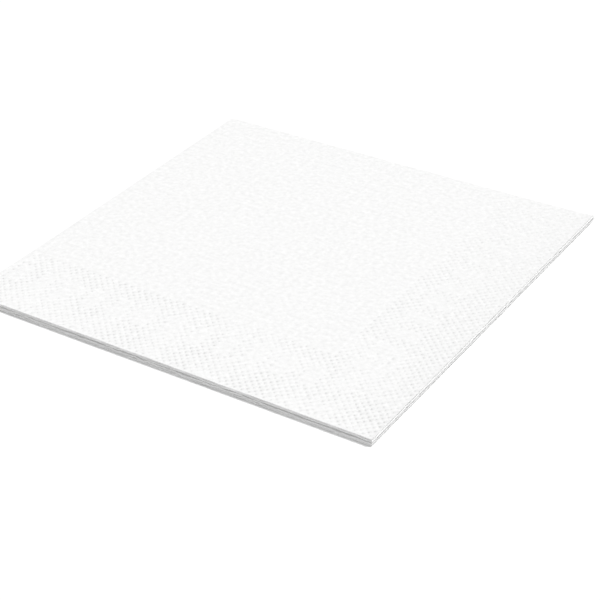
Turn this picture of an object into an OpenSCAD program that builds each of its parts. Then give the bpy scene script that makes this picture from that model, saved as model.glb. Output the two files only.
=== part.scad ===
// A paper napkin, folded in four and lying flat, as one solid.
// The square sheet is folded once along its middle, and the doubled strip is
// folded again across its middle, so four layers lie on each other.
// Both folds are closed edges; the other two sides show the four free edges.
// The dotted border runs along the free edges, as it does along the rim of
// the open sheet, and its two arms meet at the free corner.

/* [Sheet] */
// Side of the square sheet when it lies open
sheet_side = 330; // [240:10:360]
// Thickness of the embossed tissue, with all its plies
tissue_t = 0.4; // [0.3:0.02:0.5]

/* [Folds] */
// Air between the two layers of the first fold
first_gap = 0.1; // [0.06:0.02:0.2]
// Air between the two halves of the second fold
second_gap = 0.4; // [0.2:0.1:1]

/* [Dots] */
// Distance from dot to dot along a row, where the next row lies half of it away
dot_pitch = 2.82; // [2.6:0.02:3.6]
// Depth of a dot
dot_depth = 0.18; // [0.1:0.02:0.24]

/* [Border] */
// Rows in the dotted stripe at the free edge
outer_rows = 11; // [8:1:13]
// Rows in the stripe with the plain windows
middle_rows = 7; // [5:1:8]
// Rows in the dotted stripe next to the plain middle
inner_rows = 7; // [5:1:9]
// Length of a plain window along the edge, in rows
window_rows = 3; // [2:1:8]
// Length of the dotted rung between two windows, in rows
rung_rows = 5; // [2:1:7]

/* [Hidden] */
$fn = 24;

// First fold: two layers joined by a tight half round
pair_t = 2 * tissue_t + first_gap;
first_bend = PI * (tissue_t + first_gap) / 2;
run_x = (sheet_side - first_bend) / 2;

// Second fold: the pair turns over on a wider half round
fold_r = pair_t + second_gap / 2;
second_bend = PI * (pair_t + second_gap) / 2;
run_y = (sheet_side - second_bend) / 2;

// Outside size of the folded napkin
folded_x = run_x + pair_t / 2;
folded_y = run_y + fold_r;

// The dots lie on every second point of a square grid, counted from the
// free corner: i runs along the front edge and j along the right edge
cell = dot_pitch / 2;
windows_from = outer_rows + middle_rows;
border = windows_from + inner_rows;
last_i = floor(run_x / cell - 0.5);
last_j = floor(run_y / cell - 0.5);
window_step = rung_rows + window_rows;

// How many windows fit between the corner and grid line `last`
function windows(last) = floor((last - windows_from) / window_step);

// Grid lines where window k begins and ends, counted along its edge
function window_start(k) = windows_from + k * window_step + rung_rows;
function window_end(k) = windows_from + (k + 1) * window_step;

// True where grid point or cell (a, b) lies in a plain window: a counts from the
// nearer free edge, b along it, and rim is 1 for points, as a window owns its rim
function plain(a, b, last, rim) =
    let (k = floor((b - windows_from - rim) / window_step))
    a >= outer_rows && a < windows_from + rim
        && k >= 0 && k < windows(last)
        && b >= window_start(k) && b < window_end(k) + rim;

function in_window(i, j, rim) =
    i > j ? plain(j, i, last_i, rim) : plain(i, j, last_j, rim);

// A dot is pressed at every second grid point, clear of the rims
function dotted(i, j) =
    (i + j) % 2 == 0
        && i > 0 && j > 0
        && i < last_i && j < last_j
        && min(i, j) < border
        && !in_window(i, j, 1);

// Number of grid point (i, j) in the list of the border's points: rows across
// the whole front come first, and after them the short rows of the right arm
function at(i, j) =
    j <= border
        ? j * (last_i + 1) + i
        : (border + 1) * (last_i + 1) + (j - border - 1) * (border + 1) + i;

// Last grid point and cell of row j in the border
function row_points(j) = j <= border ? last_i : border;
function row_cells(j) = (j < border ? last_i : border) - 1;

// Outline of a flat patch between two grid corners, clockwise from above
function patch(i0, j0, i1, j1) = [
    for (i = [i0:i1 - 1]) at(i, j0),
    for (j = [j0:j1 - 1]) at(i1, j),
    for (i = [i1:-1:i0 + 1]) at(i, j1),
    for (j = [j1:-1:j0 + 1]) at(i0, j)];

// Triangles from one apex to each edge of a chain of points
function fan(apex, chain) = [for (k = [1:len(chain) - 1]) [apex, chain[k - 1], chain[k]]];

// A flat window is a fan about a grid point in its middle
function window_faces(i0, j0, i1, j1) =
    fan(at(floor((i0 + i1) / 2), floor((j0 + j1) / 2)), [each patch(i0, j0, i1, j1), at(i0, j0)]);

// A cell is two triangles, which share the edge between its level corners
function cell_faces(i, j) =
    let (a = at(i, j), b = at(i + 1, j), c = at(i + 1, j + 1), d = at(i, j + 1))
    (i + j) % 2 == 0 ? [[a, b, d], [b, c, d]] : [[a, b, c], [a, c, d]];

// The top layer, from the folds at x = 0 and y = 0 out to its two free edges
module top_layer() {
    border_points = [
        for (j = [0:last_j])
            for (i = [0:row_points(j)])
                [run_x - i * cell, j * cell - run_y, dotted(i, j) ? -dot_depth : 0]];
    corner_points = [
        [run_x, 0, 0],
        [0, 0, 0],
        [0, -run_y, 0],
        [run_x, 0, -tissue_t],
        [0, 0, -tissue_t],
        [0, -run_y, -tissue_t],
        [run_x, -run_y, -tissue_t]];

    // Numbers of the corner points, where the top's front right one is at(0, 0)
    back_right = len(border_points);
    back_left = back_right + 1;
    front_left = back_right + 2;
    low_back_right = back_right + 3;
    low_back_left = back_right + 4;
    low_front_left = back_right + 5;
    low_front_right = back_right + 6;

    cells = [
        for (j = [0:last_j - 1])
            for (i = [0:row_cells(j)])
                if (!in_window(i, j, 0)) each cell_faces(i, j)];
    front_windows = [
        for (k = [0:1:windows(last_i) - 1])
            each window_faces(window_start(k), outer_rows, window_end(k), windows_from)];
    right_windows = [
        for (k = [0:1:windows(last_j) - 1])
            each window_faces(outer_rows, window_start(k), windows_from, window_end(k))];
    plain_middle = fan(back_left, [
        back_right,
        for (i = [0:border]) at(i, last_j),
        for (j = [last_j - 1:-1:border]) at(border, j),
        for (i = [border + 1:last_i]) at(i, border),
        for (j = [border - 1:-1:0]) at(last_i, j),
        front_left]);
    front_edge = fan(low_front_left, [front_left, for (i = [last_i:-1:0]) at(i, 0), low_front_right]);
    right_edge = fan(low_front_right, [for (j = [0:last_j]) at(0, j), back_right, low_back_right]);
    back_end = [back_right, back_left, low_back_left, low_back_right];
    left_end = [back_left, front_left, low_front_left, low_back_left];
    underside = [low_back_right, low_back_left, low_front_left, low_front_right];

    polyhedron(
        points = concat(border_points, corner_points),
        faces = concat(
            cells, front_windows, right_windows, plain_middle,
            front_edge, right_edge, [back_end, left_end, underside]),
        convexity = 4);
}

// Section across the first fold: a half round that ends at x = 0, and the layers
// that leave it, where layer 0 lies on y = 0 and layer 1 above it
module pair_section(layers) {
    difference() {
        translate([0, pair_t / 2]) circle(d = pair_t);
        translate([0, pair_t / 2]) circle(d = first_gap);
        square([pair_t, pair_t]);
    }
    for (k = layers)
        translate([0, k * (tissue_t + first_gap)]) square([run_x, tissue_t]);
}

// Straight run of that section, from the second fold at y = 0 to the front edge
module run(layers) {
    rotate([90, 0, 0]) linear_extrude(height = run_y) pair_section(layers);
}

// The pair turned over on the second fold, whose axis is the x axis
module second_fold() {
    rotate([0, 90, 0])
        rotate_extrude(angle = 180)
            translate([fold_r, 0]) rotate(90) pair_section([0, 1]);
}

// Layers from the table up: the lower pair, the second fold, the third layer with
// the half round of the first fold, and the dotted top layer that closes it
module napkin() {
    color("white")
        translate([pair_t / 2 - folded_x / 2, folded_y / 2 - fold_r, fold_r]) {
            translate([0, 0, -fold_r]) run([0, 1]);
            second_fold();
            translate([0, 0, second_gap / 2]) run([0]);
            translate([0, 0, fold_r]) top_layer();
        }
}

napkin();
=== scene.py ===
# %% [markdown]
# # A paper napkin, folded in four
#
# The real thing is one square of soft white tissue. Steel rollers press a border
# of small dots into it, and then it is folded twice, so four layers lie on each
# other. This lesson makes it in the same order: a flat slab of tissue, its cut
# edges, the dots, and last the two folds. Nothing is joined on the way, so the
# finished mesh is one closed skin, just as the real napkin is one sheet.

# %% Load the frame
import math

import bmesh
import bpy
from mathutils import Matrix, Vector, noise


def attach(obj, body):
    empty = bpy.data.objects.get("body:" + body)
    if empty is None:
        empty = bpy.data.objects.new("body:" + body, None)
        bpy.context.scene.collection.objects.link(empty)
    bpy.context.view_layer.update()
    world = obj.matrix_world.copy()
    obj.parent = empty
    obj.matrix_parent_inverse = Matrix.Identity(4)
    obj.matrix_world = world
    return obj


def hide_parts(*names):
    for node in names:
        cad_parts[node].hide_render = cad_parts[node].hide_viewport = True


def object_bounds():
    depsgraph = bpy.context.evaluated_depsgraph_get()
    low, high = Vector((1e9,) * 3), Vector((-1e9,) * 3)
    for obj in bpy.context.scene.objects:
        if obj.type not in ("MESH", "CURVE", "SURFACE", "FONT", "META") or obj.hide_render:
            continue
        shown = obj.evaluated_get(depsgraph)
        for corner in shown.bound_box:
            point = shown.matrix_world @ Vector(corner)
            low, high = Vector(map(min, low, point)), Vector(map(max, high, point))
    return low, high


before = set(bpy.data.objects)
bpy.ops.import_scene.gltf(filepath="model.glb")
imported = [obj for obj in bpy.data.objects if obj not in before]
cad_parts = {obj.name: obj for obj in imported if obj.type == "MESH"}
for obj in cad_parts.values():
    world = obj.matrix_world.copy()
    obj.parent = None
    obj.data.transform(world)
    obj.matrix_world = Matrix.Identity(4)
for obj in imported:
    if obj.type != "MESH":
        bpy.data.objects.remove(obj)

MM = 0.001
cad_low, cad_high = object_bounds()
print("CAD box, mm:", [round(side / MM, 2) for side in cad_high - cad_low])

# %% [markdown]
# ## A slab of tissue
#
# Folding could come first and thickness after it, with a Solidify modifier on the
# folded sheet. But a crease is hardly wider than the tissue is thick, and there the
# modifier would push the inner skin through itself. So the sheet gets its thickness
# while it lies flat, where that is exact. The cells of the grid are three dots wide,
# which is as coarse as the hidden layers can be.

# %% Make the slab
SHEET = 330 * MM
TISSUE = 0.4 * MM
COARSE_CELLS = 39
DOTS_PER_CELL = 3
COARSE_CELL = SHEET / COARSE_CELLS
DOT_PITCH = COARSE_CELL / DOTS_PER_CELL

slab = bmesh.new()
bmesh.ops.create_grid(slab, x_segments=COARSE_CELLS, y_segments=COARSE_CELLS, size=SHEET / 2)
bmesh.ops.solidify(slab, geom=slab.faces[:], thickness=TISSUE)
lowest = min(vert.co.z for vert in slab.verts)
bmesh.ops.translate(slab, verts=slab.verts[:], vec=(0, 0, -TISSUE / 2 - lowest))
bmesh.ops.recalc_face_normals(slab, faces=slab.faces[:])
print("the slab has", len(slab.faces), "faces, and a dot pitch of", round(DOT_PITCH / MM, 3), "mm")

# %% [markdown]
# ## Fine cells where they count
#
# After folding, one side of the right half of the sheet is the outside of the napkin,
# above and below. It needs a cell for each dot, and half of that in the border. The
# other skins only show their outer rows, from the side, so they are refined just
# there. `subdivide_edges` with a grid fill cuts each wanted cell into equal smaller
# ones, and the cells next to it simply gain corners, so the skin stays closed. A dot
# needs small cells all round it, so they go on a little past the crease. Both skins are
# cut in the same call, because only then is the cut edge between them divided too.

# %% Refine the slab
HALF_PITCH = DOT_PITCH / 2
BORDER_WIDTH = 13 * DOT_PITCH
EDGE_STRIP = 2 * COARSE_CELL


def edge_distance(point):
    """How far a point of the flat sheet lies from the sheet's nearest cut edge."""
    return SHEET / 2 - max(abs(point.x), abs(point.y))


def cut_axes(point):
    """The axes across the cut edges that a point of the flat sheet lies on: none, one or both."""
    return [axis for axis in (0, 1) if abs(point[axis]) > SHEET / 2 - HALF_PITCH / 2]


def on_skin(point):
    """True on the two faces of the sheet, and false on its cut edges."""
    return abs(point.z) > TISSUE / 4


def outside(point, past_crease=0.0):
    """True on the skin that is the outside of the folded napkin, and a little past its first crease."""
    return point.z > TISSUE / 4 and point.x > -past_crease


def refine(bm, cuts, wanted):
    """Cuts each edge of the cells whose middle is wanted into cuts + 1 pieces."""
    cells = {face for face in bm.faces if wanted(face.calc_center_median())}
    edges = [edge for edge in bm.edges if any(face in cells for face in edge.link_faces)]
    bmesh.ops.subdivide_edges(bm, edges=edges, cuts=cuts, use_grid_fill=True)
    print("refined", len(cells), "cells, and the slab has", len(bm.faces), "faces")


def shows(point):
    """True where the skin has to be fine: outside, and in the cells that lie across the first crease."""
    return outside(point, past_crease=DOT_PITCH / 2)


refine(slab, DOTS_PER_CELL - 1, lambda p: on_skin(p) and (shows(p) or edge_distance(p) < EDGE_STRIP))
refine(slab, 1, lambda p: on_skin(p) and edge_distance(p) < (BORDER_WIDTH if shows(p) else DOT_PITCH))

# %% [markdown]
# ## Two plies at the cut edge
#
# Table napkins have two plies or more, held together only by the embossing, so at the
# cut edge a fine gap shows between them. Three cuts across all the short upright edges
# give three lines round the rim. The outer two are drawn together, which leaves a lip
# for each ply, and the middle one is drawn inwards as the bottom of a groove. It is
# deeper where the plies have come apart.

# %% Part the plies
RIM_LINES = 3
LINE_STEP = TISSUE / (RIM_LINES + 1)
PLY_GAP = 0.08 * MM
PLY_PARTING = 0.35 * MM
PARTING_LENGTH = 6 * MM
PARTING_SEED = 6.4
SOFT_CONTRAST = 0.7


def unevenness(u, v, seed, contrast=SOFT_CONTRAST):
    """Smooth noise from 0 to 1 over a plane, where each seed gives a pattern of its own."""
    return min(max(0.5 + contrast * noise.noise(Vector((u, v, seed))), 0), 1)


def parting(point):
    """How deep the groove between the plies is at a point of the cut edge."""
    return PLY_PARTING * unevenness(point.x / PARTING_LENGTH, point.y / PARTING_LENGTH, PARTING_SEED)


upright = [
    edge for edge in slab.edges
    if abs(edge.verts[0].co.z - edge.verts[1].co.z) > TISSUE / 2
]
bmesh.ops.subdivide_edges(slab, edges=upright, cuts=RIM_LINES)
rim_lines = [vert for vert in slab.verts if abs(vert.co.z) < 1.5 * LINE_STEP]
for vert in rim_lines:
    if abs(vert.co.z) > LINE_STEP / 2:
        vert.co.z = math.copysign(PLY_GAP / 2, vert.co.z)
        continue
    depth = parting(vert.co)
    for axis in cut_axes(vert.co):
        vert.co[axis] -= math.copysign(depth, vert.co[axis])
print("points on the rim lines:", len(rim_lines))

# %% [markdown]
# ## Where the dots go
#
# The dots lie on every second point of a square grid, like the black squares of a
# chessboard. The border has a dotted stripe at the edge, then a stripe of small plain
# windows with dotted rungs between them, and a second dotted stripe next to the plain
# middle. The rows are counted from the cut edges, in half pitches. The creases stay
# clear of dots, as their cells are cut again for the bend.

# %% Lay out the border
OUTER_ROWS = 11
MIDDLE_ROWS = 7
INNER_ROWS = 7
WINDOW_ROWS = 3
RUNG_ROWS = 5
WINDOWS_FROM = OUTER_ROWS + MIDDLE_ROWS
BORDER_ROWS = WINDOWS_FROM + INNER_ROWS
CREASE_MARGIN = 2.6 * MM


def rows_from_edges(point):
    """Distances of a point of the flat sheet from its two nearest cut edges, in rows."""
    return (SHEET / 2 - abs(point.x)) / HALF_PITCH, (SHEET / 2 - abs(point.y)) / HALF_PITCH


def in_window(row, column):
    """True in a plain window: row counts from the nearest cut edge, column along it."""
    along = column - WINDOWS_FROM - 1
    step = RUNG_ROWS + WINDOW_ROWS
    return OUTER_ROWS <= row <= WINDOWS_FROM and along >= 0 and along % step >= RUNG_ROWS - 1


def dotted(i, j):
    """True where the rollers press a dot at grid point (i, j)."""
    row, column = min(i, j), max(i, j)
    reaches_crease = column * HALF_PITCH > SHEET / 2 - CREASE_MARGIN
    return (i + j) % 2 == 0 and 0 < row < BORDER_ROWS and not in_window(row, column) and not reaches_crease


corner_dots = [(i, j) for i in range(BORDER_ROWS) for j in range(BORDER_ROWS) if dotted(i, j)]
print("the border is", BORDER_ROWS, "rows wide, and has", len(corner_dots), "dots where its two arms meet")

# %% [markdown]
# ## Round pits
#
# Displacing one grid point for each dot would give coarse pyramids. A vertex bevel
# opens each point into a small patch of its own, whose rim is set on a circle, and an
# inset adds a second ring inside it. Two rings and a middle point are enough for a
# round bowl. Above, a bowl has eight sides. Below, where it is seldom seen, four do.

# %% Cut the pits
PIT_RIM = 0.5 * MM
PIT_RING = 0.22 * MM


def dot_points(bm, below):
    """The grid points of the outside skin that carry a dot, above or below."""
    points = []
    for vert in bm.verts:
        if outside(vert.co) and (vert.co.y < 0) == below:
            i, j = (round(rows) for rows in rows_from_edges(vert.co))
            if dotted(i, j) and edge_distance(vert.co) < BORDER_WIDTH:
                points.append(vert)
    return points


def nearest_dot(across, along):
    """The grid point of the chessboard that is nearest to a place given in rows."""
    even = 2 * round(across / 2), 2 * round(along / 2)
    odd = 2 * round((across - 1) / 2) + 1, 2 * round((along - 1) / 2) + 1
    return min((even, odd), key=lambda dot: math.dist(dot, (across, along)))


def dot_centre(point):
    """The middle of the dot nearest to a point of the flat sheet, at the point's own height."""
    i, j = nearest_dot(*rows_from_edges(point))
    x = math.copysign(SHEET / 2 - i * HALF_PITCH, point.x)
    y = math.copysign(SHEET / 2 - j * HALF_PITCH, point.y)
    return Vector((x, y, point.z))


def cut_pits(bm, below, segments):
    """Opens each dotted grid point into a flat bowl outline with a rim, a ring and a middle."""
    points = dot_points(bm, below)
    patch = bmesh.ops.bevel(
        bm, geom=points, offset=PIT_RIM, offset_type="OFFSET", affect="VERTICES",
        segments=segments, profile=0.5, material=-1,
    )
    for vert in {vert for face in patch["faces"] for vert in face.verts}:
        centre = dot_centre(vert.co)
        spoke = vert.co - centre
        is_middle = spoke.length < PIT_RIM / 20
        if not is_middle:
            vert.co = centre + PIT_RIM * spoke.normalized()
    bmesh.ops.inset_region(
        bm, faces=patch["faces"], thickness=PIT_RING, use_boundary=True, use_even_offset=True
    )
    if segments == 1:
        bmesh.ops.poke(bm, faces=patch["faces"])
    print("pits", "below:" if below else "above:", len(points), "and the slab has", len(bm.faces), "faces")


cut_pits(slab, below=False, segments=2)
cut_pits(slab, below=True, segments=1)

# %% [markdown]
# ## Waves at the free sides
#
# Where paper is cut, nothing holds it flat. Long waves run along each free side, with
# short crinkles on them at the very edge, and both die away inwards. A sine would make
# them all alike, so smooth noise is stretched instead: its lumps are short along the
# side and long across it. Each gap will take a seed of its own, so that no two layers
# wave together.

# %% Make the waves
FOLDED = SHEET / 2
EDGE_REACH = 12 * MM
WAVE_LENGTH = 8 * MM
CRINKLE_LENGTH = 2.4 * MM
CRINKLE_SHARE = 0.6
WAVE_DEPTH = 45 * MM
WAVE_CONTRAST = 2.2
CRINKLE_SEED_STEP = 0.25
SIDE_SEED_STEP = 0.5


def near_side(distance):
    """1 at a free side, dying away to 0 with the distance from it, which is below 0 inside."""
    return math.exp(min(distance, 0) / EDGE_REACH)


def wave_along(along, inwards, seed):
    """Waves along one free side, from 0 to 1, with crinkles on them at the very edge."""
    depth = inwards / WAVE_DEPTH
    wave = unevenness(along / WAVE_LENGTH, depth, seed, WAVE_CONTRAST)
    crinkle = unevenness(along / CRINKLE_LENGTH, depth, seed + CRINKLE_SEED_STEP, WAVE_CONTRAST)
    share = CRINKLE_SHARE * near_side(2 * (inwards - FOLDED))
    return near_side(inwards - FOLDED) * ((1 - share) * wave + share * crinkle)


def edge_waves(x, y, seed):
    """Waves along both free sides, from 0 to 1, that die away towards the middle."""
    return max(wave_along(y, x, seed), wave_along(x, y, seed + SIDE_SEED_STEP))


print("waves at a free side and in the middle:", [
    round(edge_waves(x, FOLDED / 2, seed=0), 3) for x in (FOLDED, FOLDED / 2)
])

# %% [markdown]
# ## How the layers lie
#
# A loose napkin isn't a block. Its layers lie close together in the middle, stand apart
# at the second fold, where the stiff bend holds them open, and part in waves at the cut
# edges. The air in the stack is one smooth amount at each place of the folded square, so
# the top stays calm. Shares that change along the edges divide it between the gaps, so
# the layers in between wander up and down. Most of it goes between the two halves. A
# share is never below zero, and so the layers can't pass through each other, however
# the numbers are changed.

# %% Stack the layers
REST_AIR = 0.3 * MM
RIPPLE_AIR = 0.14 * MM
EDGE_AIR = 0.62 * MM
FOLD_SPRING = 0.32 * MM
RIPPLE_SIZE = 15 * MM
RIPPLE_SEED = 3.7
GAP_WEIGHTS = (0.4, 0.7, 1.9, 0.7)
LEAST_WEIGHTS = (0, 0.12, 0.12, 0.12)
GAP_SEED_STEP = 1.9
SECOND_FOLD_GAP = 2


def gap_shares(x, y):
    """How the air is shared between the gaps under the four layers."""
    weights = [
        least + weight * edge_waves(x, y, GAP_SEED_STEP * k)
        for k, (least, weight) in enumerate(zip(LEAST_WEIGHTS, GAP_WEIGHTS))
    ]
    return [weight / sum(weights) for weight in weights]


def heights(x, y):
    """Heights of the middles of the four layers. x and y run from the folds to the free sides."""
    near_free = max(near_side(x - FOLDED), near_side(y - FOLDED))
    ripple = unevenness(x / RIPPLE_SIZE, y / RIPPLE_SIZE, RIPPLE_SEED)
    air = REST_AIR + RIPPLE_AIR * ripple + EDGE_AIR * near_free
    open_end = 1 - min(max(y / FOLDED, 0), 1)
    level = -TISSUE / 2
    stack = []
    for k, share in enumerate(gap_shares(x, y)):
        spring = FOLD_SPRING * open_end**2 if k == SECOND_FOLD_GAP else 0
        level += TISSUE + share * air + spring
        stack.append(level)
    return stack


print("layer heights at the free corner, mm:", [round(h / MM, 2) for h in heights(FOLDED, FOLDED)])
print("layer heights at the second fold, mm:", [round(h / MM, 2) for h in heights(FOLDED / 2, 0)])

# %% [markdown]
# ## Lines to bend along
#
# Paper in a mesh can only bend where it has edges. Each crease is a half round a few
# millimetres wide on the flat sheet, so it gets lines of its own. `bisect_plane` draws a
# straight line through the whole slab, which is what a scoring wheel does to a real
# sheet. How wide a crease is follows from the gap between the layers that it joins. The
# machine never folds quite in the middle, so each crease lies a small slip away from
# it, and the cut edges of the layers end a little apart.

# %% Score the creases
FIRST_BEND_LINES = 9
SECOND_BEND_LINES = 13
FIRST_SLIP = 0.15 * MM
SECOND_SLIP = 0.12 * MM
ON_LINE = 1e-4 * MM

at_first = heights(0, FOLDED / 2)
FIRST_RADIUS = (at_first[1] - at_first[0]) / 2
at_second = heights(FOLDED / 2, 0)
SECOND_RADIUS = (at_second[2] + at_second[3] - at_second[0] - at_second[1]) / 4


def score(bm, axis, middle, half_width, lines):
    """Draws parallel lines across the slab, spread over a crease of that middle and half width."""
    normal = Vector((0, 0, 0))
    normal[axis] = 1
    for k in range(lines):
        place = normal * (middle + half_width * (2 * k / (lines - 1) - 1))
        geometry = bm.verts[:] + bm.edges[:] + bm.faces[:]
        bmesh.ops.bisect_plane(bm, geom=geometry, dist=ON_LINE, plane_co=place, plane_no=normal)


score(slab, 0, FIRST_SLIP, math.pi * FIRST_RADIUS / 2, FIRST_BEND_LINES)
score(slab, 1, SECOND_SLIP, math.pi * SECOND_RADIUS / 2, SECOND_BEND_LINES)
print("bend radii, mm:", round(FIRST_RADIUS / MM, 2), round(SECOND_RADIUS / MM, 2))

# %% [markdown]
# ## The force of the rollers
#
# The rollers don't press evenly. Each pin has a force of its own, whole patches of the
# border are weaker, and the dots fade towards the second fold. `noise.cell` gives one
# value for each whole number, which is right for single pins, and smooth noise is right
# for patches. Both depend on the place alone, so each run gives the same napkin.

# %% Set the force of the rollers
LEAST_PRESSURE = 0.05
FAR_FADE = 0.75
PATCH_ROWS = 11
PATCH_CONTRAST = 1.6
PATCH_SHARE = 0.4
PATCH_SEED = 20.3
PIN_SEED = 0.5


def fade(j):
    """What is left of the rollers' force in row j, which gets less towards the second fold."""
    return 1 - FAR_FADE * j * HALF_PITCH / FOLDED


def pressure(i, j):
    """How hard the rollers press the dot at grid point (i, j), from 0 to 1."""
    single = (1 + noise.cell(Vector((i, j, PIN_SEED)))) / 2
    patch = unevenness(i / PATCH_ROWS, j / PATCH_ROWS, PATCH_SEED, PATCH_CONTRAST)
    force = LEAST_PRESSURE + (1 - LEAST_PRESSURE) * (PATCH_SHARE * patch + (1 - PATCH_SHARE) * single)
    return force * fade(j)


print("force of the first few dots in row 1:", [round(pressure(i, 1), 2) for i in range(1, 12, 2)])

# %% [markdown]
# ## Press the dots
#
# While the slab is flat, pressing is a change of height. Each point of the outside skin
# sinks by two bell curves around its nearest dot: a narrow one for the pin of the roller,
# and a wide shallow one for the paper that is drawn down with it, which leaves the tissue
# between the dots puffed. How hard a point is squeezed is kept on the mesh, and so is
# how far it is puffed up, because both also paint its colour: the dots a darker grey, partly
# squeezed fibres and partly painted shade in the pits, and the puffs a painted highlight.

# %% Press the dots
PIT_DEPTH = 0.34 * MM
PIT_RADIUS = 0.35 * MM
DIMPLE_DEPTH = 0.04 * MM
DIMPLE_RADIUS = 0.9 * MM
NEXT_POINTS = ((1, 0), (-1, 0), (0, 1), (0, -1))


def bell(distance, radius):
    """1 in the middle of a round mark, falling softly to nearly 0 at twice its radius."""
    return math.exp(-((distance / radius) ** 2))


def pressed(point):
    """How deep a point of the flat sheet is pressed, and how far its fibres are squeezed, up to 1. The
    squeeze also darkens the colour, partly as painted shade in the pit.
    """
    across, along = rows_from_edges(point)
    dot = nearest_dot(across, along)
    if not (outside(point) and dotted(*dot)):
        return 0.0, 0.0
    distance = math.dist(dot, (across, along)) * HALF_PITCH
    force = pressure(*dot)
    squeeze = force * bell(distance, PIT_RADIUS)
    return PIT_DEPTH * squeeze + DIMPLE_DEPTH * force * bell(distance, DIMPLE_RADIUS), squeeze


def puffed(point):
    """How far a point of the flat sheet is puffed up by the dots round it, up to 1. The colour puts a
    painted highlight there.
    """
    if not outside(point):
        return 0.0
    across, along = rows_from_edges(point)
    i, j = round(across), round(along)
    if (i + j) % 2:
        return fade(j) * sum(dotted(i + di, j + dj) for di, dj in NEXT_POINTS) / len(NEXT_POINTS)
    distance = math.dist((i, j), (across, along)) * HALF_PITCH
    return fade(j) * dotted(i, j) * (1 - bell(distance, DIMPLE_RADIUS))


# The squeeze sets the darker grey of the dots, partly painted pit shade, and the puff sets a painted
# highlight.
pressed_layer = slab.verts.layers.float.new("pressed")
puff_highlight_layer = slab.verts.layers.float.new("puffed")
for vert in slab.verts:
    depth, vert[pressed_layer] = pressed(vert.co)
    vert[puff_highlight_layer] = puffed(vert.co)
    vert.co.z -= depth
hardest = max(vert[pressed_layer] for vert in slab.verts)
print("the hardest pressed dot has a share of", round(hardest, 2))

# %% [markdown]
# ## A map of the flat sheet
#
# The pattern of the tissue has to follow the paper round its folds. Object coordinates
# would cut straight through the layers, so the place of each point on the flat sheet is
# kept in a UV map. That is simplest now, while the slab still lies flat.

# %% Map the sheet
sheet_map = slab.loops.layers.uv.new("sheet")
for face in slab.faces:
    for loop in face.loops:
        loop[sheet_map].uv = (loop.vert.co.x / SHEET + 0.5, loop.vert.co.y / SHEET + 0.5)
print("corners of faces on the map:", sum(len(face.loops) for face in slab.faces))

# %% [markdown]
# ## Rough the cut edges
#
# A blade leaves the edge of soft paper a little wavy and frayed. Each point of a cut
# edge moves outwards in the plane by a long wave and a short one. Each of the four sides
# reads its noise at a number of its own, so they all differ.

# %% Rough the edges
CUT_WAVE = 0.12 * MM
CUT_WAVE_LENGTH = 25 * MM
CUT_WAVE_SEED = 0.3
CUT_FRAY = 0.05 * MM
CUT_FRAY_LENGTH = 1.5 * MM
CUT_FRAY_SEED = 8.3
SIDE_NUMBERS = (2, 5)


def bulge(along, side):
    """How far the cut edge of a side lies beyond a straight line, where each side has its own number."""
    wave = noise.noise(Vector((along / CUT_WAVE_LENGTH, side, CUT_WAVE_SEED)))
    fray = noise.noise(Vector((along / CUT_FRAY_LENGTH, side, CUT_FRAY_SEED)))
    return abs(CUT_WAVE * wave + CUT_FRAY * fray)


for vert in slab.verts:
    straight = vert.co.copy()
    for axis in cut_axes(straight):
        side = math.copysign(SIDE_NUMBERS[axis], straight[axis])
        vert.co[axis] += math.copysign(bulge(straight[1 - axis], side), straight[axis])
farthest = max(abs(vert.co[axis]) for vert in slab.verts for axis in (0, 1))
print("the cut edge strays by up to", round((farthest - SHEET / 2) / MM, 2), "mm")

# %% [markdown]
# ## The two folds
#
# Folding is a rule that takes each point of the flat slab to its place in the napkin.
# The first fold brings the left half over the right one, and the second brings the back
# over the front. Away from a crease a point keeps its distance along the paper. In a
# crease it goes round a half circle. Moving points by a rule keeps the paper's size
# everywhere, while a cloth simulation of so sharp a fold would need far finer cells.

# %% Fold the slab
CREASE_X = cad_low.x + FIRST_RADIUS + TISSUE / 2
CREASE_Y = cad_high.y - SECOND_RADIUS - FIRST_RADIUS - TISSUE / 2


def around(distance, radius):
    """Half turn of a crease at a distance from its middle line, measured along the paper.

    Returns how far beyond the crease the point lies, and the sine and the cosine of its
    turn. The sine runs from -1 on one layer to 1 on the other.
    """
    quarter = math.pi * radius / 2
    if abs(distance) >= quarter:
        return abs(distance) - quarter, math.copysign(1, distance), 0.0
    return 0.0, math.sin(distance / radius), math.cos(distance / radius)


def folded(point):
    """The place in the folded napkin of a point of the flat slab."""
    x_run, x_sin, x_cos = around(point.x - FIRST_SLIP, FIRST_RADIUS)
    y_run, y_sin, y_cos = around(point.y - SECOND_SLIP, SECOND_RADIUS)
    bottom, second, third, top = heights(x_run, y_run)
    upper = (y_sin + 1) / 2
    reach = (second - bottom) / 2 * (1 - upper) + (top - third) / 2 * upper
    level = x_sin * (reach + point.z)
    middle = (bottom + second + third + top) / 4
    radius = (third + top - bottom - second) / 4 + level
    x = CREASE_X + x_run - x_cos * (FIRST_RADIUS + point.z)
    y = CREASE_Y - y_run + y_cos * radius
    return Vector((x, y, middle + y_sin * radius))


for vert in slab.verts:
    vert.co = folded(vert.co)
bmesh.ops.recalc_face_normals(slab, faces=slab.faces[:])
volume = slab.calc_volume(signed=True)
print("volume of the folded slab, mm3:", round(volume / MM**3))

# %% [markdown]
# ## Smooth tissue, sharp cuts
#
# The bends and the pits are to look round, so their faces are shaded smooth. At the cut
# edge the skin really turns a corner, and there the edges are marked sharp.

# %% Finish the mesh
SHARP = math.radians(60)

for face in slab.faces:
    face.smooth = True
for edge in slab.edges:
    edge.smooth = edge.calc_face_angle(0) < SHARP

napkin_mesh = bpy.data.meshes.new("folded_napkin")
slab.to_mesh(napkin_mesh)
slab.free()
napkin = bpy.data.objects.new("folded_napkin", napkin_mesh)
bpy.context.scene.collection.objects.link(napkin)
napkin_mesh.calc_loop_triangles()
print("triangles:", len(napkin_mesh.loop_triangles))

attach(napkin, "root")
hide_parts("napkin")

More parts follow.
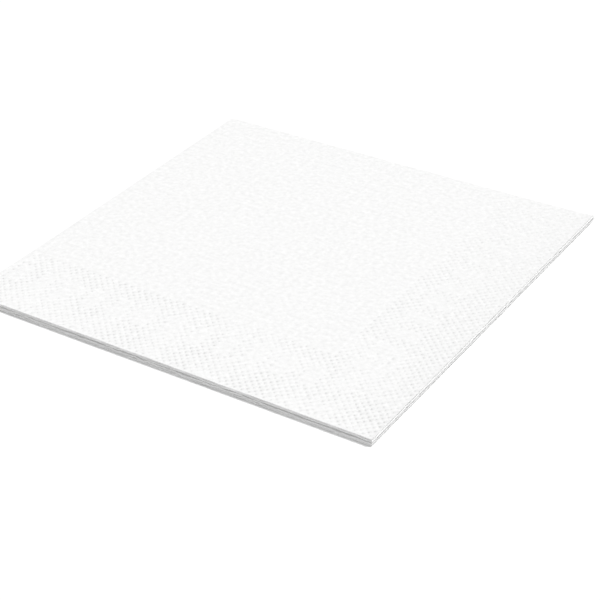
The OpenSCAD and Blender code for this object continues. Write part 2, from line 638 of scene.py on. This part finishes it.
# %% [markdown]
# ## Helpers for nodes
#
# A material is a tree of nodes. These helpers add a node, set or join its inputs, and
# hand back what the next cell needs. A Mix node keeps a set of sockets for each kind of
# data, all with the same names, so a socket is looked up among the enabled ones.

# %% Define the node helpers


def socket(sockets, name):
    """The enabled socket of that name."""
    return next(one for one in sockets if one.name == name and one.enabled)


def feed(tree, target, value):
    """Joins an input to another socket, or sets it to a plain value."""
    if isinstance(value, bpy.types.NodeSocket):
        tree.links.new(value, target)
    else:
        target.default_value = value


def add(tree, kind, properties=None, **inputs):
    """Adds a node with its properties and its inputs, where _ stands for a space in a name."""
    node = tree.nodes.new(kind)
    for name, value in (properties or {}).items():
        setattr(node, name, value)
    for name, value in inputs.items():
        feed(tree, socket(node.inputs, name.replace("_", " ")), value)
    return node


def mixed(tree, kind, factor, first, second):
    """A mix of two colours or two numbers, all first at a factor of 0 and all second at 1."""
    node = add(tree, "ShaderNodeMix", {"data_type": kind}, Factor=factor, A=first, B=second)
    return socket(node.outputs, "Result")


def larger(tree, first, second):
    """The larger of two numbers."""
    node = add(tree, "ShaderNodeMath", {"operation": "MAXIMUM"})
    feed(tree, node.inputs[0], first)
    feed(tree, node.inputs[1], second)
    return node.outputs["Value"]


def grey(value, warmth=0.0):
    """A grey as a colour, with its blue lowered by the warmth."""
    return (value, value, value - warmth, 1)


def new_material(name):
    """A material, its node tree and its Principled shader."""
    material = bpy.data.materials.new(name)
    material.use_nodes = True
    return material, material.node_tree, material.node_tree.nodes["Principled BSDF"]


helpers = (socket, feed, add, mixed, larger, grey, new_material)
print("helpers for nodes:", ", ".join(helper.__name__ for helper in helpers))

# %% [markdown]
# ## The structure of tissue
#
# Tissue is never even. Its fibres lie in loose clouds about a millimetre wide. The blade
# that scrapes it off the drying cylinder crepes it, which leaves fine short ripples
# across the sheet. From close by, single fibres show as thin hairs that lie in all
# directions. Each of the three is a noise texture, stretched and turned as it needs. They
# go in a node group, which any soft paper could use. Places are given in millimetres.

# %% Build the tissue structure
CLOUDS_PER_MM = 0.55
CREPE_PER_MM = (0.55, 2.2, 1)
FIBRES_PER_MM = (0.9, 9, 1)
FIBRE_TURNS = (14, 73, 131)
FIBRE_FROM = 0.6
FIBRE_TO = 0.72


def spots(tree, place, scale=1.0, detail=2.0, fineness=0.5):
    """Noise from 0 to 1, with about that many bumps for each unit of its place."""
    return add(
        tree, "ShaderNodeTexNoise", Vector=place, Scale=scale, Detail=detail, Roughness=fineness
    ).outputs["Fac"]


def stretched(tree, place, scale, turn=0.0):
    """The place, turned by an angle in degrees and scaled along its own axes."""
    turned = add(tree, "ShaderNodeMapping", Vector=place, Rotation=(0, 0, math.radians(turn)))
    return add(tree, "ShaderNodeMapping", Vector=turned.outputs["Vector"], Scale=scale).outputs["Vector"]


def hairs(tree, place):
    """Thin streaks in a few directions, 0 between them and 1 on them."""
    found = 0.0
    for turn in FIBRE_TURNS:
        noise_value = spots(tree, stretched(tree, place, FIBRES_PER_MM, turn), detail=1.0)
        streak = add(tree, "ShaderNodeMapRange", Value=noise_value, From_Min=FIBRE_FROM, From_Max=FIBRE_TO)
        found = larger(tree, found, streak.outputs["Result"])
    return found


def tissue_group():
    """A node group that gives the clouds, the crepe and the hairs of tissue, each from 0 to 1."""
    group = bpy.data.node_groups.new("tissue_structure", "ShaderNodeTree")
    group.interface.new_socket("Place", in_out="INPUT", socket_type="NodeSocketVector")
    for name in ("Clouds", "Crepe", "Hairs"):
        group.interface.new_socket(name, in_out="OUTPUT", socket_type="NodeSocketFloat")
    place = add(group, "NodeGroupInput").outputs["Place"]
    clouds = spots(group, place, CLOUDS_PER_MM, detail=3.0, fineness=0.75)
    crepe = spots(group, stretched(group, place, CREPE_PER_MM))
    add(group, "NodeGroupOutput", Clouds=clouds, Crepe=crepe, Hairs=hairs(group, place))
    return group


structure_group = tissue_group()
print("the group", structure_group.name, "has", len(structure_group.nodes), "nodes")

# %% [markdown]
# ## White tissue
#
# The colour is a clean white, a touch darker where the clouds are thin, and lightest on
# the hairs. A dot is painted darker, partly for the squeezed fibres and partly as painted
# shade in the pit, and the tissue that puffs up between the dots gets a painted highlight.
# A painted image could hold all that, but mixing it from the patterns and the values kept
# on the mesh makes each part of it a number that can be changed.

# %% Colour the tissue
THIN_WHITE = grey(0.84, 0.003)
THICK_WHITE = grey(0.98, 0.002)
HAIR_WHITE = grey(0.98, 0.002)
# Painted highlight: the puffed tissue between the dots is painted lighter, as if it caught more light.
PUFF_HIGHLIGHT_WHITE = grey(1.0)
PUFF_HIGHLIGHT_SHARE = 0.4
# Squeezed fibres are a little darker, and the rest of this dark grey is painted shade in the pits.
PRESSED_FIBRE_AND_PIT_SHADE_WHITE = grey(0.55, 0.006)
CLOUDS_FROM = 0.3
CLOUDS_TO = 0.7
HAIR_SHARE = 0.3

tissue, tree, shader = new_material("white_tissue")
sheet_place = add(tree, "ShaderNodeUVMap", {"uv_map": "sheet"}).outputs["UV"]
to_mm = {"operation": "SCALE"}
place_mm = add(tree, "ShaderNodeVectorMath", to_mm, Vector=sheet_place, Scale=SHEET / MM).outputs["Vector"]
structure = add(tree, "ShaderNodeGroup", {"node_tree": structure_group}, Place=place_mm)
clouds, crepe, strands = (structure.outputs[name] for name in ("Clouds", "Crepe", "Hairs"))
squeeze, puff_highlight_mask = (
    add(tree, "ShaderNodeAttribute", {"attribute_name": name}).outputs["Fac"]
    for name in ("pressed", "puffed")
)

thickness = add(tree, "ShaderNodeMapRange", Value=clouds, From_Min=CLOUDS_FROM, From_Max=CLOUDS_TO)
paper = mixed(tree, "RGBA", thickness.outputs["Result"], THIN_WHITE, THICK_WHITE)
hair_share = add(tree, "ShaderNodeMapRange", Value=strands, To_Max=HAIR_SHARE).outputs["Result"]
hairy = mixed(tree, "RGBA", hair_share, paper, HAIR_WHITE)
# The puffs between the dots get a painted highlight.
puff_highlight_share = add(tree, "ShaderNodeMapRange", Value=puff_highlight_mask, To_Max=PUFF_HIGHLIGHT_SHARE).outputs["Result"]
with_puff_highlight = mixed(tree, "RGBA", puff_highlight_share, hairy, PUFF_HIGHLIGHT_WHITE)
# The dots get a darker grey: partly squeezed fibres, partly painted shade in the pits.
colour = mixed(tree, "RGBA", squeeze, with_puff_highlight, PRESSED_FIBRE_AND_PIT_SHADE_WHITE)
feed(tree, shader.inputs["Base Color"], colour)
napkin_mesh.materials.append(tissue)
print("the material", tissue.name, "has", len(tree.nodes), "nodes so far")

# %% [markdown]
# ## The feel of tissue
#
# The same three patterns feed one bump, so light and shade agree with the colour. They
# are far too fine to be cut into the mesh. Squeezed fibres lie flat, so a dot is also
# smoother than the rest. A little sheen stands for the fuzz that catches the light at
# the edge of a soft thing.

# %% Roughen the tissue
CREPE_SHARE = 0.4
HAIR_RELIEF = 0.1
RELIEF = 0.12 * MM
LOOSE_ROUGHNESS = 0.92
PRESSED_ROUGHNESS = 0.7
GLOSS = 0.3
FUZZ = 0.08
FUZZ_ROUGHNESS = 0.5

soft_relief = mixed(tree, "FLOAT", CREPE_SHARE, clouds, crepe)
relief = mixed(tree, "FLOAT", HAIR_RELIEF, soft_relief, strands)
bump = add(tree, "ShaderNodeBump", Strength=1.0, Distance=RELIEF, Height=relief)
roughness = add(
    tree, "ShaderNodeMapRange", Value=squeeze, To_Min=LOOSE_ROUGHNESS, To_Max=PRESSED_ROUGHNESS
)
feed(tree, shader.inputs["Normal"], bump.outputs["Normal"])
feed(tree, shader.inputs["Roughness"], roughness.outputs["Result"])
feed(tree, shader.inputs["Specular IOR Level"], GLOSS)
feed(tree, shader.inputs["Sheen Weight"], FUZZ)
feed(tree, shader.inputs["Sheen Roughness"], FUZZ_ROUGHNESS)
print("the material", tissue.name, "has", len(tree.nodes), "nodes")

# %% [markdown]
# ## A white studio
#
# The floor and the air around it are to look white without throwing more light on the
# napkin, because white paper under too much light loses its relief. The Light Path node
# tells how a surface is met. To the camera, and in reflections, both are full white, and
# for everything else they are the paler grey of a real studio. The floor still takes the
# napkin's shadow.

# %% Lay the floor and set the surroundings
FLOOR_SIDE = 20
FLOOR_GREY = grey(0.8)
FULL_WHITE = grey(1.0)
SKY_STRENGTH = 0.26


def seen_directly(tree):
    """1 where a surface is met by the camera, a reflection or a look through glass, and else 0."""
    ray = add(tree, "ShaderNodeLightPath").outputs
    return larger(tree, larger(tree, ray["Is Camera Ray"], ray["Is Glossy Ray"]), ray["Is Transmission Ray"])


bpy.ops.mesh.primitive_plane_add(size=FLOOR_SIDE)
floor = bpy.context.object
floor.name = "floor"
paint, tree, shader = new_material("floor_white")
feed(tree, shader.inputs["Base Color"], mixed(tree, "RGBA", seen_directly(tree), FLOOR_GREY, FULL_WHITE))
feed(tree, shader.inputs["Roughness"], 1.0)
feed(tree, shader.inputs["Specular IOR Level"], 0.0)
floor.data.materials.append(paint)

studio = bpy.data.worlds.new("studio")
studio.use_nodes = True
sky = studio.node_tree.nodes["Background"]
feed(studio.node_tree, sky.inputs["Color"], FULL_WHITE)
sky_strength = mixed(studio.node_tree, "FLOAT", seen_directly(studio.node_tree), SKY_STRENGTH, 1.0)
feed(studio.node_tree, sky.inputs["Strength"], sky_strength)
bpy.context.scene.world = studio
bpy.context.scene.view_settings.view_transform = "Standard"
print("the floor is", FLOOR_SIDE, "m wide, and the air lights it with a strength of", SKY_STRENGTH)

# %% [markdown]
# ## Soft light from the right
#
# Small relief on white paper only shows when most of the light comes from one side. A
# sun lamp with a wide disc is like a big soft box far away: its shadows have soft
# borders, and it lights the whole floor evenly. A weaker one from the front keeps the
# shaded cut edges from going grey. A lamp's strength is what a surface that faces it
# would get, so the share that the top gets is given here, and the strength follows.

# %% Set the lamps


def soft_lamp(name, azimuth, elevation, disc, share):
    """A wide sun lamp, with all angles in degrees, that gives level white paper that share of full white."""
    data = bpy.data.lights.new(name, "SUN")
    data.angle = math.radians(disc)
    data.energy = math.pi * share / math.sin(math.radians(elevation))
    lamp = bpy.data.objects.new(name, data)
    lamp.rotation_euler = (math.radians(90 - elevation), 0, math.radians(azimuth + 90))
    bpy.context.scene.collection.objects.link(lamp)
    print(name, "lamp:", round(data.energy, 2), "W/m2")


soft_lamp("key", azimuth=50, elevation=58, disc=14, share=0.655)
soft_lamp("fill", azimuth=-85, elevation=28, disc=30, share=0.14)

# %% [markdown]
# ## Where the camera stands
#
# The napkin lies with its free corner towards the camera, which looks down on it at a
# little over thirty degrees. A long lens from further off keeps the sides nearly
# parallel. The camera's own axes are worked out from its two angles and a slight roll,
# and a matrix made of them places it without any constraint or target object.

# %% Place the camera
AZIMUTH = math.radians(32.9)
ELEVATION = math.radians(32.0)
ROLL = math.radians(-0.8)
DISTANCE = 609 * MM
AIM_RIGHT = 3.2 * MM
AIM_UP = -17 * MM
LENS_MM = 100.2
SENSOR_MM = 36

back = Vector((
    math.sin(AZIMUTH) * math.cos(ELEVATION),
    -math.cos(AZIMUTH) * math.cos(ELEVATION),
    math.sin(ELEVATION),
))
level_right = Vector((math.cos(AZIMUTH), math.sin(AZIMUTH), 0))
level_up = back.cross(level_right)
right = math.cos(ROLL) * level_right + math.sin(ROLL) * level_up
up = back.cross(right)
camera_data = bpy.data.cameras.new("camera")
camera_data.lens = LENS_MM
camera_data.sensor_width = SENSOR_MM
camera = bpy.data.objects.new("camera", camera_data)
place = Vector((0, 0, cad_high.z)) + right * AIM_RIGHT + up * AIM_UP + back * DISTANCE
camera.matrix_world = Matrix.Translation(place) @ Matrix((right, up, back)).transposed().to_4x4()
bpy.context.scene.collection.objects.link(camera)
bpy.context.scene.camera = camera
print("the camera stands", DISTANCE, "m away, at", [round(v, 3) for v in place])
